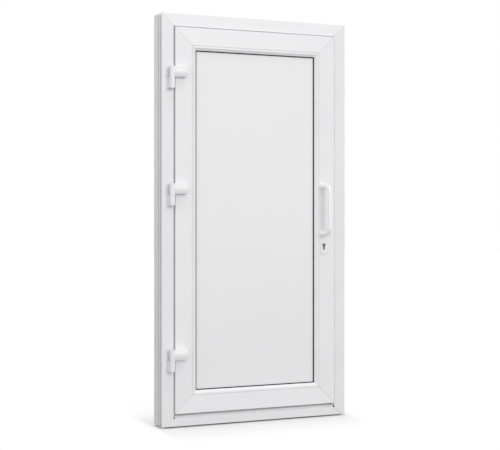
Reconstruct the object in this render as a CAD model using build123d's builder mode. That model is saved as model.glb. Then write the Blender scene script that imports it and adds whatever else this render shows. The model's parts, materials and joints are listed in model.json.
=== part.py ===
from build123d import *
import os

# A white uPVC door set: a mitred frame and a leaf with a solid panel, hung on three hinges.
# Millimetres. +Z is up, the front faces -Y, the origin is the centre of the sill's underside.

# Frame: outer size and extrusion
frame_width = 990
frame_height = 1990
frame_depth = 115
frame_face = 60
frame_round = 1.5
shelf_width = 8.5
shelf_depth = 10
stop_height = 28
stop_gap = 10
front_rim = 6
front_groove_width = 23
rib_width = 15
rear_groove_width = 13
wall_groove_depth = 12
sill_trim = 24
weld_groove_depth = 2.5
weld_groove_slope = 0.2

# Frame seal on the stop
seal_width = 6
seal_inset = 2
seal_clearance = 0.3
seal_bevel = 2.5

# Threshold strip on the sill
strip_height = 14
strip_edge = 1
strip_setback = 1
strip_nose = 12
strip_end_gap = 0.5

# Sash: extrusion of the leaf
lip_gap = 6
head_gap = 5
bottom_gap = 11
sash_proud = 10.5
sash_depth = 70
sash_face = 86
sash_round = 1.2
lip_thickness = 15.5
lip_overhang = 12.5
hardware_groove_width = 16
hardware_groove_depth = 3
leg_height = 22
leg_bevel = 9

# Glazing bead, panel and their gaskets
bead_width = 22
bead_flat = 10
bead_nose = 1.5
bead_round = 0.6
bead_gap = 0.8
bead_foot_height = 3
bead_foot_width = 3
bead_foot_setback = 3
panel_thickness = 24
panel_setback = 18.5
panel_edge_clearance = 5
outer_gasket_thickness = 5
inner_gasket_thickness = 5
gasket_seat = 9
gasket_lip = 4.5
gasket_bevel = 1.5

# Seal under the bottom rail
sweep_thickness = 5
sweep_carrier = 12
sweep_carrier_height = 4
sweep_clearance = 0.3
sweep_end_gap = 8

# Hinges
hinge_inset = 17
hinge_reach = 30
top_hinge_drop = 250
middle_hinge_rise = 120
bottom_hinge_rise = 255
knuckle_radius = 13
leaf_knuckle_height = 58
base_knuckle_height = 48
joint_gap = 0.5
flap_length = 80
flap_height = 51
flap_end_round = 8
flap_end_bulge = 6
flap_crown = 6
flap_taper = 2
pin_radius = 6
pin_rise = 40
pin_depth = 30
pin_clearance = 0.05
pin_end_gap = 0.2

# Pull handles
handle_height = 1043
handle_span = 240
handle_from_bead = 15
handle_shift = 12
handle_reach = 66.5
handle_radius = 11
handle_sides = 24
handle_bend = 32
post_radius = 15.5
post_length = 36
post_inset = 4
post_taper = 6

# Lock: cylinder, escutcheons and edge hardware
lock_below_handle = 66
lock_from_bead = 24
escutcheon_width = 34
escutcheon_height = 80
escutcheon_thickness = 6
escutcheon_bevel = 2
cylinder_radius = 8.5
cylinder_height = 33
cylinder_slot = 10
cylinder_rise = 9
cylinder_proud = 1
cylinder_clearance = 0.3
keyway_width = 2
keyway_height = 9
keyway_depth = 3
faceplate_length = 420
bolt_width = 10
bolt_length = 26
bolt_clearance = 0.3
latch_rise = 70
latch_proud = 2
latch_round = 3
dead_bolt_drop = 60
strike_width = 22
strike_length = 190
strike_thickness = 1.5
strike_clearance = 0.2
strike_slot_margin = 4

# Places that several pieces share
frame_left = -frame_width / 2
frame_right = frame_width / 2
frame_front = -frame_depth / 2
sash_back = sash_depth - sash_proud
rebate_depth = sash_back + stop_gap
shelf_edge = frame_face + shelf_width
stop_edge = frame_face + stop_height
rib_start = front_rim + front_groove_width
rib_end = rib_start + rib_width
rear_block_start = rib_end + rear_groove_width
sill_top = frame_face - sill_trim
strip_top = sill_top + strip_height
sash_left = frame_left + frame_face + lip_gap
sash_right = frame_right - frame_face - lip_gap
sash_top = frame_height - frame_face - head_gap
sash_bottom = strip_top + bottom_gap
sash_front_y = frame_front - sash_proud
sash_back_y = frame_front + sash_back
sash_middle_z = (sash_top + sash_bottom) / 2
panel_back = panel_setback + panel_thickness
leg_front = panel_back + inner_gasket_thickness
bead_back = panel_setback - outer_gasket_thickness
groove_start = (sash_depth + lip_thickness - hardware_groove_width) / 2
groove_end = groove_start + hardware_groove_width
foot_end = bead_back - bead_foot_setback
foot_start = foot_end - bead_foot_width
hinge_x = frame_left + frame_face - hinge_inset
hinge_y = frame_front - hinge_reach
bead_line_x = sash_right - sash_face
handle_x = bead_line_x + handle_from_bead
handle_low = handle_height - handle_span / 2
handle_high = handle_height + handle_span / 2
lock_x = bead_line_x + lock_from_bead
lock_z = handle_low - lock_below_handle
cylinder_z = lock_z + cylinder_rise
groove_floor_x = sash_right - lip_overhang - hardware_groove_depth
groove_y = sash_front_y + (groove_start + groove_end) / 2
latch_z = lock_z + latch_rise
dead_bolt_z = lock_z - dead_bolt_drop
hinge_joints = {
    "top": sash_top - top_hinge_drop,
    "middle": sash_middle_z + middle_hinge_rise,
    "bottom": sash_bottom + bottom_hinge_rise,
}
frame_box = (frame_left, frame_right, -sill_trim, frame_height)
sash_box = (sash_left, sash_right, sash_bottom, sash_top)
sash_faces = {"outer": (sash_front_y, -1), "inner": (sash_back_y, 1)}
strike_plane = Plane(origin=(frame_right - shelf_edge, groove_y, 0), x_dir=(0, -1, 0), z_dir=(-1, 0, 0))
strike_z = (latch_z + dead_bolt_z) / 2

os.makedirs("parts", exist_ok=True)


def save(part, name):
    """Label a finished piece and write its file."""
    part.label = name
    export_step(part, f"parts/{name}.step")


def side_plane(side, left, right, bottom, top, front):
    """Profile plane on one side of a rectangle: local x runs inward, local y runs back."""
    if side == "hinge":
        return Plane(origin=(left, front, (bottom + top) / 2), x_dir=(1, 0, 0), z_dir=(0, 0, 1))
    if side == "lock":
        return Plane(origin=(right, front, (bottom + top) / 2), x_dir=(-1, 0, 0), z_dir=(0, 0, -1))
    if side == "top":
        return Plane(origin=((left + right) / 2, front, top), x_dir=(0, 0, -1), z_dir=(1, 0, 0))
    return Plane(origin=((left + right) / 2, front, bottom), x_dir=(0, 0, 1), z_dir=(-1, 0, 0))


def side_length(side, left, right, bottom, top):
    """Length of one side of a rectangle."""
    return top - bottom if side in ("hinge", "lock") else right - left


def mitred_bar(outline, side, box, front, depth, edge_round):
    """Extrusion on one side of a box: soft front edges, mitred ends, a fine groove at each joint."""
    plane = side_plane(side, *box, front)
    half = side_length(side, *box) / 2
    with BuildPart() as bar:
        with BuildSketch(plane) as section:
            with BuildLine():
                Polyline(*outline, close=True)
            make_face()
            fillet(section.vertices().group_by(Axis.Y)[0], radius=edge_round)
        extrude(amount=half, both=True)
        for end in (1, -1):
            corner = plane.origin + plane.z_dir * (end * half)
            inward = (plane.x_dir * -1 - plane.z_dir * end).normalized()
            split(bisect_by=Plane(origin=corner, z_dir=inward), keep=Keep.TOP)
            lean = plane.y_dir * weld_groove_slope
            front_groove = corner + plane.y_dir * weld_groove_depth
            split(bisect_by=Plane(origin=front_groove, z_dir=inward + lean), keep=Keep.TOP)
            back_groove = corner + plane.y_dir * (depth - weld_groove_depth)
            split(bisect_by=Plane(origin=back_groove, z_dir=inward - lean), keep=Keep.TOP)
    return bar.part


def euro_profile(margin):
    """Round head and narrow stem of a lock cylinder, drawn about the head's centre."""
    stem = cylinder_height - cylinder_radius - cylinder_slot / 2
    Circle(cylinder_radius + margin)
    with Locations((0, -stem / 2)):
        Rectangle(cylinder_slot + 2 * margin, stem)
    with Locations((0, -stem)):
        Circle(cylinder_slot / 2 + margin)


# Frame members: flange, shelf and stop of the rebate, and two grooves and a rib on the wall side
frame_outline = [
    (0, 0),
    (frame_face, 0),
    (frame_face, shelf_depth),
    (shelf_edge, shelf_depth),
    (shelf_edge, rebate_depth),
    (stop_edge, rebate_depth),
    (stop_edge, frame_depth),
    (0, frame_depth),
    (0, rear_block_start),
    (wall_groove_depth, rear_block_start),
    (wall_groove_depth, rib_end),
    (0, rib_end),
    (0, rib_start),
    (wall_groove_depth, rib_start),
    (wall_groove_depth, front_rim),
    (0, front_rim),
]
frame_names = {
    "hinge": "frame_hinge_jamb",
    "lock": "frame_lock_jamb",
    "top": "frame_head",
    "bottom": "frame_sill",
}
for side, name in frame_names.items():
    member_bar = mitred_bar(frame_outline, side, frame_box, frame_front, frame_depth, frame_round)
    with BuildPart() as frame_member:
        add(member_bar)
        if side != "top":
            split(bisect_by=Plane.XY, keep=Keep.TOP)
        if side == "lock":
            with BuildSketch(strike_plane):
                with Locations((0, strike_z)):
                    Rectangle(strike_width + 2 * strike_clearance, strike_length + 2 * strike_clearance)
            extrude(amount=-strike_thickness, mode=Mode.SUBTRACT)
    save(frame_member.part, name)

# Threshold strip: sloped nose over the sill's edge, flat top on its shelf
strip_front_y = frame_front + strip_setback
strip_back_y = frame_front + rebate_depth - strip_setback
with BuildPart() as threshold_strip:
    with BuildSketch(Plane.YZ):
        with BuildLine():
            Polyline(
                (strip_front_y, sill_top),
                (strip_front_y, sill_top + strip_edge),
                (strip_front_y + strip_nose, strip_top),
                (strip_back_y, strip_top),
                (strip_back_y, sill_top + shelf_width),
                (frame_front + shelf_depth, sill_top + shelf_width),
                (frame_front + shelf_depth, sill_top),
                close=True,
            )
        make_face()
    extrude(amount=frame_width / 2 - shelf_edge - strip_end_gap, both=True)
save(threshold_strip.part, "threshold_strip")

# Frame gasket: a soft bead along the stop of both jambs and the head
seal_inner = stop_edge - seal_inset
seal_outer = seal_inner - seal_width
seal_foot_z = stop_edge - sill_trim
with BuildPart() as frame_gasket:
    with BuildSketch(Plane.XZ.offset(-frame_front - sash_back - seal_clearance)):
        with BuildLine():
            Polyline(
                (frame_left + seal_inner, seal_foot_z),
                (frame_left + seal_inner, frame_height - seal_inner),
                (frame_right - seal_inner, frame_height - seal_inner),
                (frame_right - seal_inner, seal_foot_z),
                (frame_right - seal_outer, seal_foot_z),
                (frame_right - seal_outer, frame_height - seal_outer),
                (frame_left + seal_outer, frame_height - seal_outer),
                (frame_left + seal_outer, seal_foot_z),
                close=True,
            )
        make_face()
    extrude(amount=-(stop_gap - seal_clearance))
    chamfer(frame_gasket.faces().sort_by(Axis.Y)[0].edges(), length=seal_bevel)
save(frame_gasket.part, "frame_gasket")

# Sash members: lip, hardware groove, bead rebate with foot groove, back leg
sash_outline = [
    (0, 0),
    (sash_face, 0),
    (sash_face, foot_start),
    (sash_face - bead_foot_height, foot_start),
    (sash_face - bead_foot_height, foot_end),
    (sash_face, foot_end),
    (sash_face, leg_front),
    (sash_face + leg_height, leg_front),
    (sash_face + leg_height, sash_depth - leg_bevel),
    (sash_face + leg_height - leg_bevel, sash_depth),
    (lip_overhang, sash_depth),
    (lip_overhang, groove_end),
    (lip_overhang + hardware_groove_depth, groove_end),
    (lip_overhang + hardware_groove_depth, groove_start),
    (lip_overhang, groove_start),
    (lip_overhang, lip_thickness),
    (0, lip_thickness),
]
sash_names = {
    "hinge": "sash_hinge_stile",
    "lock": "sash_lock_stile",
    "top": "sash_top_rail",
    "bottom": "sash_bottom_rail",
}
for side, name in sash_names.items():
    member_bar = mitred_bar(sash_outline, side, sash_box, sash_front_y, sash_depth, sash_round)
    with BuildPart() as sash_member:
        add(member_bar)
        if side == "lock":
            with BuildSketch(Plane.XZ.offset(-sash_front_y)):
                with Locations((lock_x, cylinder_z)):
                    euro_profile(cylinder_clearance)
            extrude(amount=-sash_depth, mode=Mode.SUBTRACT)
    save(sash_member.part, name)

# Glazing beads: flat top, sloped face, and a foot in the sash groove
bead_outline = [
    (sash_face + bead_gap, 0),
    (sash_face + bead_flat, 0),
    (sash_face + bead_width, bead_back - bead_nose),
    (sash_face + bead_width, bead_back),
    (sash_face, bead_back),
    (sash_face, foot_end),
    (sash_face - bead_foot_height, foot_end),
    (sash_face - bead_foot_height, foot_start),
    (sash_face + bead_gap, foot_start),
]
for side in sash_names:
    bead = mitred_bar(bead_outline, side, sash_box, sash_front_y, bead_back, bead_round)
    save(bead, f"glazing_bead_{side}")

# Panel, held between two gaskets inside the sash rebate
rebate_width = sash_right - sash_left - 2 * sash_face
rebate_height = sash_top - sash_bottom - 2 * sash_face
sight_width = rebate_width - 2 * bead_width
sight_height = rebate_height - 2 * bead_width
with BuildPart() as infill_panel:
    with BuildSketch(Plane.XZ.offset(-sash_front_y - panel_setback)):
        with Locations((0, sash_middle_z)):
            Rectangle(rebate_width - 2 * panel_edge_clearance, rebate_height - 2 * panel_edge_clearance)
    extrude(amount=-panel_thickness)
save(infill_panel.part, "infill_panel")

gasket_places = {
    "outer": (bead_back, outer_gasket_thickness, 0),
    "inner": (panel_back, inner_gasket_thickness, -1),
}
for place, (start, thickness, exposed) in gasket_places.items():
    with BuildPart() as gasket:
        with BuildSketch(Plane.XZ.offset(-sash_front_y - start)):
            with Locations((0, sash_middle_z)):
                Rectangle(sight_width + 2 * gasket_seat, sight_height + 2 * gasket_seat)
                Rectangle(sight_width - 2 * gasket_lip, sight_height - 2 * gasket_lip, mode=Mode.SUBTRACT)
        extrude(amount=-thickness)
        exposed_face = gasket.faces().filter_by(Axis.Y).sort_by(Axis.Y)[exposed]
        chamfer(exposed_face.inner_wires()[0].edges(), length=gasket_bevel)
    save(gasket.part, f"gasket_{place}")

# Seal under the bottom rail: carrier on the body's edge and a fin down to the strip
sweep_y = sash_front_y + (lip_thickness + groove_start) / 2
sweep_seat = sash_bottom + lip_overhang
sweep_foot = strip_top + sweep_clearance
with BuildPart() as bottom_seal:
    with BuildSketch(Plane.YZ):
        with Locations((sweep_y, sweep_seat - sweep_carrier_height / 2)):
            Rectangle(sweep_carrier, sweep_carrier_height)
        with Locations((sweep_y, (sweep_seat + sweep_foot) / 2)):
            Rectangle(sweep_thickness, sweep_seat - sweep_foot)
    extrude(amount=(sash_right - sash_left) / 2 - lip_overhang - sweep_end_gap, both=True)
save(bottom_seal.part, "bottom_seal")

# Hinges: base on the frame, pin, and crowned flap on the hinge stile
flap_front_y = hinge_y - knuckle_radius
flap_end_x = hinge_x + flap_length
for place, joint_z in hinge_joints.items():
    with BuildPart() as hinge_base:
        with BuildSketch(Plane.XY.offset(joint_z)):
            with Locations((hinge_x, hinge_y)):
                Circle(knuckle_radius)
            with Locations((hinge_x, (hinge_y + frame_front) / 2)):
                Rectangle(2 * knuckle_radius, hinge_reach)
        extrude(amount=-base_knuckle_height)
        with BuildSketch(Plane.XY.offset(joint_z)):
            with Locations((hinge_x, hinge_y)):
                Circle(pin_radius + pin_clearance)
        extrude(amount=-pin_depth, mode=Mode.SUBTRACT)
    save(hinge_base.part, f"hinge_base_{place}")

    with BuildPart() as hinge_pin:
        with BuildSketch(Plane.XY.offset(joint_z - pin_depth)):
            with Locations((hinge_x, hinge_y)):
                Circle(pin_radius)
        extrude(amount=pin_depth + pin_rise)
    save(hinge_pin.part, f"hinge_pin_{place}")

    knuckle_bottom = joint_z + joint_gap
    knuckle_top = joint_z + leaf_knuckle_height
    flap_bottom = knuckle_top - flap_height
    flap_middle = knuckle_top - flap_height / 2
    with BuildPart() as hinge_flap:
        with BuildSketch(Plane.XY.offset(flap_bottom)) as flap_plan:
            with BuildLine():
                Polyline(
                    (hinge_x, flap_front_y),
                    (flap_end_x, flap_front_y),
                    (flap_end_x, sash_front_y),
                    (sash_left + flap_taper, sash_front_y),
                    (hinge_x, hinge_y + knuckle_radius),
                    close=True,
                )
            make_face()
            fillet(flap_plan.vertices().group_by(Axis.X)[-1].sort_by(Axis.Y)[0], radius=flap_end_round)
        extrude(amount=flap_height)
        with BuildSketch(Plane.YZ.offset(hinge_x)):
            with BuildLine():
                ThreePointArc(
                    (flap_front_y + flap_crown, flap_bottom),
                    (flap_front_y, flap_middle),
                    (flap_front_y + flap_crown, knuckle_top),
                )
                Polyline(
                    (flap_front_y + flap_crown, knuckle_top),
                    (sash_front_y, knuckle_top),
                    (sash_front_y, flap_bottom),
                    (flap_front_y + flap_crown, flap_bottom),
                )
            make_face()
        extrude(amount=flap_length, mode=Mode.INTERSECT)
        with BuildSketch(Plane.XZ.offset(-sash_front_y)):
            with BuildLine():
                ThreePointArc(
                    (flap_end_x - flap_end_bulge, flap_bottom),
                    (flap_end_x, flap_middle),
                    (flap_end_x - flap_end_bulge, knuckle_top),
                )
                Polyline(
                    (flap_end_x - flap_end_bulge, knuckle_top),
                    (hinge_x, knuckle_top),
                    (hinge_x, flap_bottom),
                    (flap_end_x - flap_end_bulge, flap_bottom),
                )
            make_face()
        extrude(amount=sash_front_y - flap_front_y, mode=Mode.INTERSECT)
        with BuildSketch(Plane.XY.offset(knuckle_bottom)):
            with Locations((hinge_x, hinge_y)):
                Circle(knuckle_radius)
        extrude(amount=knuckle_top - knuckle_bottom)
        with BuildSketch(Plane.XY.offset(knuckle_bottom)):
            with Locations((hinge_x, hinge_y)):
                Circle(pin_radius + pin_clearance)
        extrude(amount=joint_z + pin_rise + pin_end_gap - knuckle_bottom, mode=Mode.SUBTRACT)
    save(hinge_flap.part, f"hinge_flap_{place}")

# Pull handles, many-sided so that their facets stay few, and escutcheons, outside and inside
for place, (face_y, outward) in sash_faces.items():
    grip_x = handle_x + handle_shift
    grip_y = face_y + outward * handle_reach
    arm_direction = Vector(handle_shift, outward * handle_reach, 0).normalized()
    with BuildPart() as pull_handle:
        with BuildLine() as bow:
            FilletPolyline(
                (handle_x, face_y, handle_low),
                (grip_x, grip_y, handle_low),
                (grip_x, grip_y, handle_high),
                (handle_x, face_y, handle_high),
                radius=handle_bend,
            )
        with BuildSketch(Plane(origin=bow.line @ 0, z_dir=bow.line % 0)):
            RegularPolygon(handle_radius, handle_sides)
        sweep()
        for end_z in (handle_low, handle_high):
            foot = Vector(handle_x, face_y, end_z) - arm_direction * post_inset
            with BuildSketch(Plane(origin=foot, z_dir=arm_direction)):
                RegularPolygon(post_radius, handle_sides)
            extrude(amount=post_length, taper=post_taper)
        split(bisect_by=Plane.XZ.offset(-face_y), keep=Keep.TOP if outward < 0 else Keep.BOTTOM)
    save(pull_handle.part, f"pull_handle_{place}")

    with BuildPart() as escutcheon:
        with BuildSketch(Plane.XZ.offset(-face_y)):
            with Locations((lock_x, lock_z)):
                SlotOverall(escutcheon_height, escutcheon_width, rotation=90)
        extrude(amount=-outward * escutcheon_thickness)
        show_face = escutcheon.faces().filter_by(Axis.Y).sort_by(Axis.Y)[0 if outward < 0 else -1]
        chamfer(show_face.edges(), length=escutcheon_bevel)
        with BuildSketch(Plane.XZ.offset(-face_y)):
            with Locations((lock_x, cylinder_z)):
                euro_profile(cylinder_clearance)
        extrude(amount=-outward * escutcheon_thickness, mode=Mode.SUBTRACT)
    save(escutcheon.part, f"escutcheon_{place}")

# Lock cylinder through the stile, with a keyway at each end
cylinder_front_y = sash_front_y - escutcheon_thickness - cylinder_proud
cylinder_back_y = sash_back_y + escutcheon_thickness + cylinder_proud
with BuildPart() as lock_cylinder:
    with BuildSketch(Plane.XZ.offset(-cylinder_front_y)):
        with Locations((lock_x, cylinder_z)):
            euro_profile(0)
    extrude(amount=-(cylinder_back_y - cylinder_front_y))
    for end_y, inward in ((cylinder_front_y, -1), (cylinder_back_y, 1)):
        with BuildSketch(Plane.XZ.offset(-end_y)):
            with Locations((lock_x, cylinder_z)):
                Rectangle(keyway_width, keyway_height)
        extrude(amount=inward * keyway_depth, mode=Mode.SUBTRACT)
save(lock_cylinder.part, "lock_cylinder")

# Edge hardware: faceplate in the groove, latch and dead bolt, strike plate let into the jamb
edge_plane = Plane(origin=(groove_floor_x, groove_y, 0), x_dir=(0, 1, 0), z_dir=(1, 0, 0))
with BuildPart() as lock_faceplate:
    with BuildSketch(edge_plane):
        with Locations((0, lock_z)):
            Rectangle(hardware_groove_width, faceplate_length)
        with Locations((0, latch_z), (0, dead_bolt_z)):
            Rectangle(bolt_width + 2 * bolt_clearance, bolt_length + 2 * bolt_clearance, mode=Mode.SUBTRACT)
    extrude(amount=hardware_groove_depth)
save(lock_faceplate.part, "lock_faceplate")

with BuildPart() as roller_latch:
    with BuildSketch(edge_plane):
        with Locations((0, latch_z)):
            Rectangle(bolt_width, bolt_length)
    extrude(amount=hardware_groove_depth + latch_proud)
    fillet(roller_latch.faces().sort_by(Axis.X)[-1].edges().filter_by(Axis.Z), radius=latch_round)
save(roller_latch.part, "roller_latch")

with BuildPart() as dead_bolt:
    with BuildSketch(edge_plane):
        with Locations((0, dead_bolt_z)):
            Rectangle(bolt_width, bolt_length)
    extrude(amount=hardware_groove_depth)
save(dead_bolt.part, "dead_bolt")

slot_width = bolt_width + 2 * strike_slot_margin
slot_length = bolt_length + 2 * strike_slot_margin
with BuildPart() as strike_plate:
    with BuildSketch(strike_plane):
        with Locations((0, strike_z)):
            Rectangle(strike_width, strike_length)
        with Locations((0, latch_z), (0, dead_bolt_z)):
            Rectangle(slot_width, slot_length, mode=Mode.SUBTRACT)
    extrude(amount=-strike_thickness)
save(strike_plate.part, "strike_plate")
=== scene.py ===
import json
import math

import bpy
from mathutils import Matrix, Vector


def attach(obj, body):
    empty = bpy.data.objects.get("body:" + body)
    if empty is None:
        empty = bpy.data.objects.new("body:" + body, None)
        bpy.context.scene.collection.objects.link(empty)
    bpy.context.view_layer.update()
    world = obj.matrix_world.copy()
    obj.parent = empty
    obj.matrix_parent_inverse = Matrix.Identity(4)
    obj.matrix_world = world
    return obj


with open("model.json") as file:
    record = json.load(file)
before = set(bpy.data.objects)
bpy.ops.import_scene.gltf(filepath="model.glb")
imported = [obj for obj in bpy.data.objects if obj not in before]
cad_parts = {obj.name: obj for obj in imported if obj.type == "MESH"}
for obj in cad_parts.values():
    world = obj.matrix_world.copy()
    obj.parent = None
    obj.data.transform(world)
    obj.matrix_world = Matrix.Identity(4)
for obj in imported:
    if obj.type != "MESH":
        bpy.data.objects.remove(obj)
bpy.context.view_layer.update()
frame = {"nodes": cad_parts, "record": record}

nodes = frame["nodes"]
slot_of = {part["node"]: part["material_slot"] for part in frame["record"]["subparts"]}

# Camera: level, turned to the right, standing in front of the hinge side (metres, pixels, degrees)
IMAGE_WIDTH = 500
CAMERA_PLACE = (-2.345, -5.3715, 1.031)
CAMERA_TILT = 90
CAMERA_TURN = -23.5
FOCAL_PIXELS = 1171.4
HORIZON_DROP = -12.57
SENSOR_WIDTH = 36
VIEW_LIMIT = 100

# Light levels
WHITE = (1, 1, 1, 1)
AMBIENT = 0.753
BACKGROUND = 1.0

# Lamps: a softbox and four soft suns, all aimed at the middle of the door (metres, degrees)
LIGHT_AIM = (0.0, 0.0, 1.0)
KEY_PLACE = (0.45, -8.4, 4.2)
KEY_SIZE = (3.0, 2.0)
KEY_POWER = 118
FRONT_PLACE = (0.72, -3.87, 1.7)
FRONT_SPREAD = 22
FRONT_POWER = 0.4
TOP_PLACE = (0.34, -1.46, 4.71)
TOP_SPREAD = 30
TOP_POWER = 0.24
SIDE_PLACE = (-3.6, -1.5, 1.9)
SIDE_SPREAD = 30
SIDE_POWER = 0.21
BACK_PLACE = (0.9, 5.5, 1.9)
BACK_SPREAD = 30
BACK_POWER = 0.7

# Floor: distances from the foot of the frame in metres, and how much glow the camera sees there; the glow
# paints shadow round the foot and light over the real shadows further off
FLOOR_SIZE = 40
FLOOR_DROP = 0.007
FLOOR_COLOUR = (0.9, 0.9, 0.9, 1)
FLOOR_BOUNCE = (0.42, 0.42, 0.42, 1)
FLOOR_NEAR = 0.02
FLOOR_FAR = 0.36
FLOOR_LIFT_NEAR = 0.06
FLOOR_LIFT = 0.17
FLOOR_PAST_ENDS = 0.03
FLOOR_BEHIND = 0.4
FLOOR_LIFT_BEHIND = 0.09

# Noise scale along each axis, low along the lines that a finish is drawn or rubbed in
PLAIN = (1, 1, 1)
UPRIGHT = (260, 260, 2.5)
LEVEL = (2.5, 260, 260)
SPECKLE = (500, 500, 500)
RUBBED_UPRIGHT = (300, 300, 20)
RUBBED_THROUGH = (900, 40, 900)

# Dark and light tone of each finish, and the share of the noise that runs between them
TONE_SPAN = (0.3, 0.7)
# The jamb tones are a darker copy of the stile's white, painted shade, and the rail tones a lighter copy,
# painted light
JAMB_PAINTED_SHADE_TONES = ((0.82, 0.818, 0.836), (0.845, 0.843, 0.859))
STILE_TONES = ((0.842, 0.84, 0.858), (0.868, 0.865, 0.881))
RAIL_PAINTED_LIGHT_TONES = ((0.876, 0.873, 0.893), (0.902, 0.9, 0.916))
PANEL_TONES = ((0.852, 0.85, 0.867), (0.893, 0.89, 0.906))
STRIP_TONES = ((0.852, 0.85, 0.866), (0.877, 0.875, 0.89))
HINGE_TONES = ((0.847, 0.845, 0.863), (0.873, 0.87, 0.886))
HANDLE_TONES = ((0.924, 0.922, 0.934), (0.94, 0.937, 0.948))
GASKET_TONES = ((0.008, 0.008, 0.009), (0.018, 0.018, 0.019))
SEAL_TONES = ((0.46, 0.46, 0.47), (0.52, 0.52, 0.53))
# The lock cylinder's nickel is darkened far below its own tone: painted shade for its keyhole
NICKEL_PAINTED_SHADE_TONES = ((0.13, 0.128, 0.125), (0.2, 0.197, 0.192))
STEEL_TONES = ((0.5, 0.5, 0.51), (0.62, 0.62, 0.63))

# Lowest and highest roughness of each finish, and its gloss
PLASTIC_ROUGHNESS = (0.4, 0.55)
PANEL_ROUGHNESS = (0.5, 0.6)
COAT_ROUGHNESS = (0.25, 0.37)
STRIP_ROUGHNESS = (0.35, 0.47)
RUBBER_ROUGHNESS = (0.55, 0.75)
NICKEL_ROUGHNESS = (0.27, 0.45)
STEEL_ROUGHNESS = (0.22, 0.4)
PLASTIC_IOR = 1.53
SATIN_COAT = 0.3
GLOSS_COAT = 1.0
COAT_SHARPNESS = 0.15
RUBBER_SHINE = 0.2

# Tone of the panel: how far its clouds move it, and how far the first metre of height lightens it, which is
# painted light
PANEL_CLOUDS = 0.25
PANEL_PAINTED_LIGHT_RISE = 0.4

# Small fittings left out of the construction (metres)
BEVEL_SHARE = 0.2
STRIP_TO_JAMB = 0.009
# Black blocks at the ends of the threshold strip: painted shade in the gaps between the strip's ends and the
# jambs
SHADE_BLOCK_WIDTH = 0.0035
SHADE_BLOCK_DEPTH = 0.003
SHADE_BLOCK_HEIGHT = 0.0135
SHADE_BLOCK_SETBACK = 0.0014
SCREW_RADIUS = 0.0035
SCREW_HEIGHT = 0.0008
SCREW_SIDES = 24
SCREW_FROM_END = 0.012
# Black bars across the screw heads: painted shade for their cross recesses
CROSS_LENGTH = 0.0042
CROSS_WIDTH = 0.0007
CROSS_HEIGHT = 0.0002
PLUG_RADIUS = 0.0062
PLUG_RING = 0.0004
PLUG_DROP = 0.0085
RING_SEGMENTS = 48
RING_SIDES = 10


# Node helpers
def new_material(name):
    """A material with its node tree and principled shader."""
    material = bpy.data.materials.new(name)
    material.use_nodes = True
    tree = material.node_tree
    return material, tree, tree.nodes["Principled BSDF"]


def emptied_tree(owner):
    """Node tree of a material or a world, without its standard nodes."""
    owner.use_nodes = True
    owner.node_tree.nodes.clear()
    return owner.node_tree


def place_coordinates(tree, scale):
    """Object coordinates in metres, stretched by scale."""
    coords = tree.nodes.new("ShaderNodeTexCoord")
    mapping = tree.nodes.new("ShaderNodeMapping")
    mapping.inputs["Scale"].default_value = scale
    tree.links.new(coords.outputs["Object"], mapping.inputs["Vector"])
    return mapping.outputs["Vector"]


def along_axis(tree, vector, axis):
    """One of a vector's three values."""
    split = tree.nodes.new("ShaderNodeSeparateXYZ")
    tree.links.new(vector, split.inputs["Vector"])
    return split.outputs[axis]


def noise(tree, grain, scale, detail):
    """Grey noise, stretched by the grain."""
    texture = tree.nodes.new("ShaderNodeTexNoise")
    texture.inputs["Scale"].default_value = scale
    texture.inputs["Detail"].default_value = detail
    tree.links.new(place_coordinates(tree, grain), texture.inputs["Vector"])
    return texture.outputs["Fac"]


def spread(tree, value, low, high, start=0.0, end=1.0):
    """Value that runs from low to high while the given one runs from start to end."""
    stretch = tree.nodes.new("ShaderNodeMapRange")
    stretch.inputs["From Min"].default_value = start
    stretch.inputs["From Max"].default_value = end
    stretch.inputs["To Min"].default_value = low
    stretch.inputs["To Max"].default_value = high
    tree.links.new(value, stretch.inputs["Value"])
    return stretch.outputs["Result"]


def combine(tree, operation, first, second):
    """Two values joined by a sum, a maximum or the like."""
    joined = tree.nodes.new("ShaderNodeMath")
    joined.operation = operation
    tree.links.new(first, joined.inputs[0])
    tree.links.new(second, joined.inputs[1])
    return joined.outputs["Value"]


def vector_step(tree, operation, vector, other=(0, 0, 0)):
    """One step of vector arithmetic, with a second vector where the step takes one."""
    step = tree.nodes.new("ShaderNodeVectorMath")
    step.operation = operation
    step.inputs[1].default_value = other
    tree.links.new(vector, step.inputs[0])
    return step


def dress(tree, shader, tone, tones, gloss, roughness):
    """Colour of a shader, led by the tone, and its roughness, led by the gloss."""
    colours = tree.nodes.new("ShaderNodeValToRGB")
    for stop, position, colour in zip(colours.color_ramp.elements, TONE_SPAN, tones):
        stop.position = position
        stop.color = (*colour, 1)
    tree.links.new(tone, colours.inputs["Fac"])
    tree.links.new(colours.outputs["Color"], shader.inputs["Base Color"])
    tree.links.new(spread(tree, gloss, *roughness), shader.inputs["Roughness"])


def bump(tree, shader, height, strength, distance):
    """Fine relief on a shader, up to a distance in metres."""
    relief = tree.nodes.new("ShaderNodeBump")
    relief.inputs["Strength"].default_value = strength
    relief.inputs["Distance"].default_value = distance
    tree.links.new(height, relief.inputs["Height"])
    tree.links.new(relief.outputs["Normal"], shader.inputs["Normal"])


# Materials
def upvc(name, grain, tones):
    """White extruded plastic with faint draw lines along its length."""
    material, tree, shader = new_material(name)
    lines = noise(tree, grain, scale=1.0, detail=3)
    clouds = noise(tree, PLAIN, scale=5.0, detail=3)
    dress(tree, shader, clouds, tones, lines, PLASTIC_ROUGHNESS)
    shader.inputs["IOR"].default_value = PLASTIC_IOR
    bump(tree, shader, lines, strength=0.06, distance=0.0002)
    return material


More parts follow.
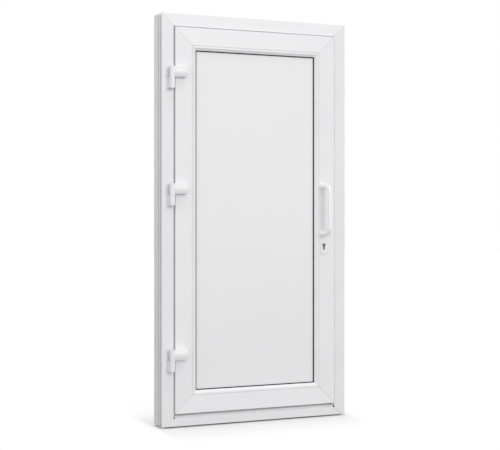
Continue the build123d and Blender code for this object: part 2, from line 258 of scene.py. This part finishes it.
def sheet(name, tones):
    """White flat sheet, with a faint orange peel, and painted light that makes it lighter up the door's
    first metre.
    """
    material, tree, shader = new_material(name)
    peel = noise(tree, PLAIN, scale=900.0, detail=2)
    clouds = noise(tree, PLAIN, scale=3.0, detail=3)
    height = along_axis(tree, place_coordinates(tree, PLAIN), "Z")
    # Painted light: the sheet gets lighter up its first metre
    painted_light_rise = spread(tree, height, 0.0, PANEL_PAINTED_LIGHT_RISE)
    tone = combine(tree, "ADD", spread(tree, clouds, 0.0, PANEL_CLOUDS), painted_light_rise)
    dress(tree, shader, tone, tones, clouds, PANEL_ROUGHNESS)
    shader.inputs["IOR"].default_value = PLASTIC_IOR
    bump(tree, shader, peel, strength=0.05, distance=0.0001)
    return material


def powder_coat(name, tones, roughness, grain, gloss):
    """Sprayed white coat with a fine orange peel."""
    material, tree, shader = new_material(name)
    peel = noise(tree, grain, scale=1.0, detail=2)
    clouds = noise(tree, PLAIN, scale=30.0, detail=2)
    dress(tree, shader, clouds, tones, peel, roughness)
    shader.inputs["Coat Weight"].default_value = gloss
    shader.inputs["Coat Roughness"].default_value = COAT_SHARPNESS
    bump(tree, shader, peel, strength=0.08, distance=0.0002)
    return material


def rubber(name, tones):
    """Seal with a dull, slightly dusty face."""
    material, tree, shader = new_material(name)
    grain = noise(tree, PLAIN, scale=700.0, detail=3)
    dust = noise(tree, PLAIN, scale=40.0, detail=4)
    dress(tree, shader, dust, tones, grain, RUBBER_ROUGHNESS)
    shader.inputs["Specular IOR Level"].default_value = RUBBER_SHINE
    bump(tree, shader, grain, strength=0.15, distance=0.0002)
    return material


def metal(name, tones, roughness, grain):
    """Plated metal with fine rub lines."""
    material, tree, shader = new_material(name)
    lines = noise(tree, grain, scale=1.0, detail=4)
    dress(tree, shader, lines, tones, lines, roughness)
    shader.inputs["Metallic"].default_value = 1.0
    bump(tree, shader, lines, strength=0.08, distance=0.0001)
    return material


# Copies of one white: the jamb copy is darker, painted shade, and the rail copy lighter, painted light
upvc_jamb_painted_shade = upvc("upvc_jamb_painted_shade", UPRIGHT, JAMB_PAINTED_SHADE_TONES)
upvc_stile = upvc("upvc_stile", UPRIGHT, STILE_TONES)
upvc_rail_painted_light = upvc("upvc_rail_painted_light", LEVEL, RAIL_PAINTED_LIGHT_TONES)
materials = {
    "upvc_white": upvc_stile,
    "panel_white": sheet("panel_sheet", PANEL_TONES),
    "threshold_white": powder_coat("threshold_coat", STRIP_TONES, STRIP_ROUGHNESS, LEVEL, SATIN_COAT),
    "gasket_black": rubber("gasket_rubber", GASKET_TONES),
    "seal_grey": rubber("seal_rubber", SEAL_TONES),
    "hinge_white": powder_coat("hinge_coat", HINGE_TONES, COAT_ROUGHNESS, SPECKLE, SATIN_COAT),
    "handle_white": powder_coat("handle_coat", HANDLE_TONES, COAT_ROUGHNESS, SPECKLE, GLOSS_COAT),
    "cylinder_nickel": metal("cylinder_nickel", NICKEL_PAINTED_SHADE_TONES, NICKEL_ROUGHNESS, RUBBED_THROUGH),
    "steel": metal("zinc_steel", STEEL_TONES, STEEL_ROUGHNESS, RUBBED_UPRIGHT),
}

# Pieces whose finish differs from their slot's: the photo shows them lighter or darker. The rails take a
# lighter copy of the white, painted light, and the jambs a darker copy, painted shade.
jambs = ("frame_hinge_jamb", "frame_lock_jamb")
rails = ("frame_head", "sash_top_rail", "sash_bottom_rail", "glazing_bead_top", "glazing_bead_bottom")
escutcheons = ("escutcheon_outer", "escutcheon_inner")
for name, piece in nodes.items():
    if name in jambs:
        finish = upvc_jamb_painted_shade
    elif name in rails:
        finish = upvc_rail_painted_light
    elif name in escutcheons:
        finish = materials["hinge_white"]
    else:
        finish = materials[slot_of[name]]
    piece.data.materials.clear()
    piece.data.materials.append(finish)


# Small fittings
def box_of(name):
    """Low and high corners of a node's box."""
    corners = [nodes[name].matrix_world @ Vector(corner) for corner in nodes[name].bound_box]
    low = Vector(min(corner[axis] for corner in corners) for axis in range(3))
    high = Vector(max(corner[axis] for corner in corners) for axis in range(3))
    return low, high


def add_piece(name, body, slot):
    """Name the piece just made, attach it to its body, and give it its slot's finish."""
    piece = bpy.context.object
    piece.name = name
    piece.data.materials.append(materials[slot])
    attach(piece, body)


def add_block(name, place, size, body, slot):
    """A block with small bevels."""
    bpy.ops.mesh.primitive_cube_add(size=1, location=place)
    bpy.context.object.scale = size
    bpy.ops.object.transform_apply(location=False, rotation=False, scale=True)
    bevel = bpy.context.object.modifiers.new("bevel", "BEVEL")
    bevel.width = min(size) * BEVEL_SHARE
    add_piece(name, body, slot)


# Black blocks on the sill, against the jambs, past the ends of the threshold strip: painted shade for the
# gaps between the strip's ends and the jambs
low, high = box_of("threshold_strip")
shade_block_size = (SHADE_BLOCK_WIDTH, SHADE_BLOCK_DEPTH, SHADE_BLOCK_HEIGHT)
shade_block_x = high.x + STRIP_TO_JAMB - SHADE_BLOCK_WIDTH / 2
shade_block_y = low.y + SHADE_BLOCK_SETBACK
shade_block_z = low.z + SHADE_BLOCK_HEIGHT / 2
for side, way in (("hinge", -1), ("lock", 1)):
    add_block(f"painted_shade_block_{side}", (way * shade_block_x, shade_block_y, shade_block_z), shade_block_size, "frame", "gasket_black")

# Screws in the faceplate and the strike plate, both set in faces across X
# Black bars across each head: painted shade for the cross recess
recess_shade_bars = {
    "upright": (CROSS_HEIGHT, CROSS_WIDTH, CROSS_LENGTH),
    "level": (CROSS_HEIGHT, CROSS_LENGTH, CROSS_WIDTH),
}
for plate, body, way in (("lock_faceplate", "leaf", 1), ("strike_plate", "frame", -1)):
    low, high = box_of(plate)
    face_x = high.x if way > 0 else low.x
    head_x = face_x + way * SCREW_HEIGHT / 2
    middle_y = (low.y + high.y) / 2
    for end, end_z in (("low", low.z + SCREW_FROM_END), ("high", high.z - SCREW_FROM_END)):
        bpy.ops.mesh.primitive_cylinder_add(
            vertices=SCREW_SIDES, radius=SCREW_RADIUS, depth=SCREW_HEIGHT,
            location=(face_x, middle_y, end_z), rotation=(0, math.pi / 2, 0),
        )
        add_piece(f"{plate}_screw_{end}", body, "steel")
        for bar, size in recess_shade_bars.items():
            add_block(f"{plate}_screw_{end}_{bar}", (head_x, middle_y, end_z), size, body, "gasket_black")

# Ring round the key plug at each end of the cylinder
low, high = box_of("lock_cylinder")
for end, end_y in (("outer", low.y), ("inner", high.y)):
    bpy.ops.mesh.primitive_torus_add(
        major_radius=PLUG_RADIUS, minor_radius=PLUG_RING,
        major_segments=RING_SEGMENTS, minor_segments=RING_SIDES,
        location=((low.x + high.x) / 2, end_y, high.z - PLUG_DROP), rotation=(math.pi / 2, 0, 0),
    )
    bpy.ops.object.shade_smooth()
    add_piece(f"key_plug_ring_{end}", "leaf", "cylinder_nickel")


# Floor: glow that only the camera sees, none at the frame's foot, so that a painted shadow lies there over
# the real one, and more further off, past the ends and behind, where it paints light over the real shadows
def painted_floor_shading(tree, half_foot):
    """Strength of the floor's glow: none along the frame's foot, painting shadow there, and more further
    away, past its ends and behind, painting light over the real shadows there.
    """
    place = place_coordinates(tree, PLAIN)
    unsigned = vector_step(tree, "ABSOLUTE", place).outputs["Vector"]
    outside = vector_step(tree, "SUBTRACT", unsigned, half_foot).outputs["Vector"]
    past = vector_step(tree, "MAXIMUM", outside).outputs["Vector"]
    away = vector_step(tree, "LENGTH", past).outputs["Value"]
    # Painted shadow: no glow at the foot, rising over the first centimetres and then out to the far distance
    edge = spread(tree, away, 0.0, FLOOR_LIFT_NEAR, end=FLOOR_NEAR)
    fade = spread(tree, away, 0.0, FLOOR_LIFT - FLOOR_LIFT_NEAR, FLOOR_NEAR, FLOOR_FAR)
    around = combine(tree, "ADD", edge, fade)
    # Painted light: the glow rises sooner past the frame's ends and behind it, over the real shadows there
    ends = spread(tree, along_axis(tree, past, "X"), 0.0, FLOOR_LIFT, end=FLOOR_PAST_ENDS)
    depth = along_axis(tree, place, "Y")
    behind = spread(tree, depth, 0.0, FLOOR_LIFT_BEHIND, -half_foot.y, FLOOR_BEHIND)
    return combine(tree, "ADD", combine(tree, "MAXIMUM", around, ends), behind)


def matte(tree, colour):
    """Plain matte shader."""
    shader = tree.nodes.new("ShaderNodeBsdfDiffuse")
    shader.inputs["Color"].default_value = colour
    return shader.outputs["BSDF"]


def floor_paper(name, half_foot):
    """White paper with the painted shading glowing on it to the camera, and greyer paper for the light that
    it throws on the door.
    """
    material = bpy.data.materials.new(name)
    tree = emptied_tree(material)
    glow = tree.nodes.new("ShaderNodeEmission")
    lifted = tree.nodes.new("ShaderNodeAddShader")
    path = tree.nodes.new("ShaderNodeLightPath")
    seen = tree.nodes.new("ShaderNodeMixShader")
    output = tree.nodes.new("ShaderNodeOutputMaterial")
    tree.links.new(painted_floor_shading(tree, half_foot), glow.inputs["Strength"])
    tree.links.new(matte(tree, FLOOR_COLOUR), lifted.inputs[0])
    tree.links.new(glow.outputs["Emission"], lifted.inputs[1])
    tree.links.new(path.outputs["Is Camera Ray"], seen.inputs["Fac"])
    tree.links.new(matte(tree, FLOOR_BOUNCE), seen.inputs[1])
    tree.links.new(lifted.outputs["Shader"], seen.inputs[2])
    tree.links.new(seen.outputs["Shader"], output.inputs["Surface"])
    return material


bpy.ops.mesh.primitive_plane_add(size=FLOOR_SIZE, location=(0, 0, -FLOOR_DROP))
floor = bpy.context.object
floor.name = "floor"
# The head is as wide and as deep as the frame's foot, and centred over it
head_corner = box_of("frame_head")[1]
half_foot = Vector((head_corner.x, head_corner.y, 0))
floor.data.materials.append(floor_paper("floor_paper", half_foot))

# World: even soft light, and white where the camera or a reflection sees it
world = bpy.data.worlds.new("studio")
bpy.context.scene.world = world
tree = emptied_tree(world)
backdrop = tree.nodes.new("ShaderNodeBackground")
backdrop.inputs["Color"].default_value = WHITE
path = tree.nodes.new("ShaderNodeLightPath")
output = tree.nodes.new("ShaderNodeOutputWorld")
seen = combine(tree, "MAXIMUM", path.outputs["Is Camera Ray"], path.outputs["Is Glossy Ray"])
tree.links.new(spread(tree, seen, AMBIENT, BACKGROUND), backdrop.inputs["Strength"])
tree.links.new(backdrop.outputs["Background"], output.inputs["Surface"])


# Lamps
def hold(lamp, place):
    """Put a lamp in its place and point it at the door."""
    holder = bpy.data.objects.new(lamp.name, lamp)
    holder.location = place
    holder.rotation_euler = (Vector(LIGHT_AIM) - Vector(place)).to_track_quat("-Z", "Y").to_euler()
    bpy.context.scene.collection.objects.link(holder)


def softbox(name, place, size, power):
    """Area lamp, wide by high, that points at the door."""
    lamp = bpy.data.lights.new(name, "AREA")
    lamp.shape = "RECTANGLE"
    lamp.size, lamp.size_y = size
    lamp.energy = power
    hold(lamp, place)


def soft_sun(name, place, spread_degrees, power):
    """Even light from one side, with soft shadows."""
    lamp = bpy.data.lights.new(name, "SUN")
    lamp.angle = math.radians(spread_degrees)
    lamp.energy = power
    hold(lamp, place)


softbox("key", KEY_PLACE, KEY_SIZE, KEY_POWER)
soft_sun("front", FRONT_PLACE, FRONT_SPREAD, FRONT_POWER)
soft_sun("top", TOP_PLACE, TOP_SPREAD, TOP_POWER)
soft_sun("side", SIDE_PLACE, SIDE_SPREAD, SIDE_POWER)
soft_sun("back", BACK_PLACE, BACK_SPREAD, BACK_POWER)

# Camera
lens = bpy.data.cameras.new("camera")
lens.sensor_width = SENSOR_WIDTH
lens.lens = SENSOR_WIDTH * FOCAL_PIXELS / IMAGE_WIDTH
lens.shift_y = HORIZON_DROP / IMAGE_WIDTH
lens.clip_end = VIEW_LIMIT
camera = bpy.data.objects.new("camera", lens)
camera.location = CAMERA_PLACE
camera.rotation_euler = (math.radians(CAMERA_TILT), 0, math.radians(CAMERA_TURN))
bpy.context.scene.collection.objects.link(camera)
bpy.context.scene.camera = camera
bpy.context.scene.view_settings.view_transform = "Standard"
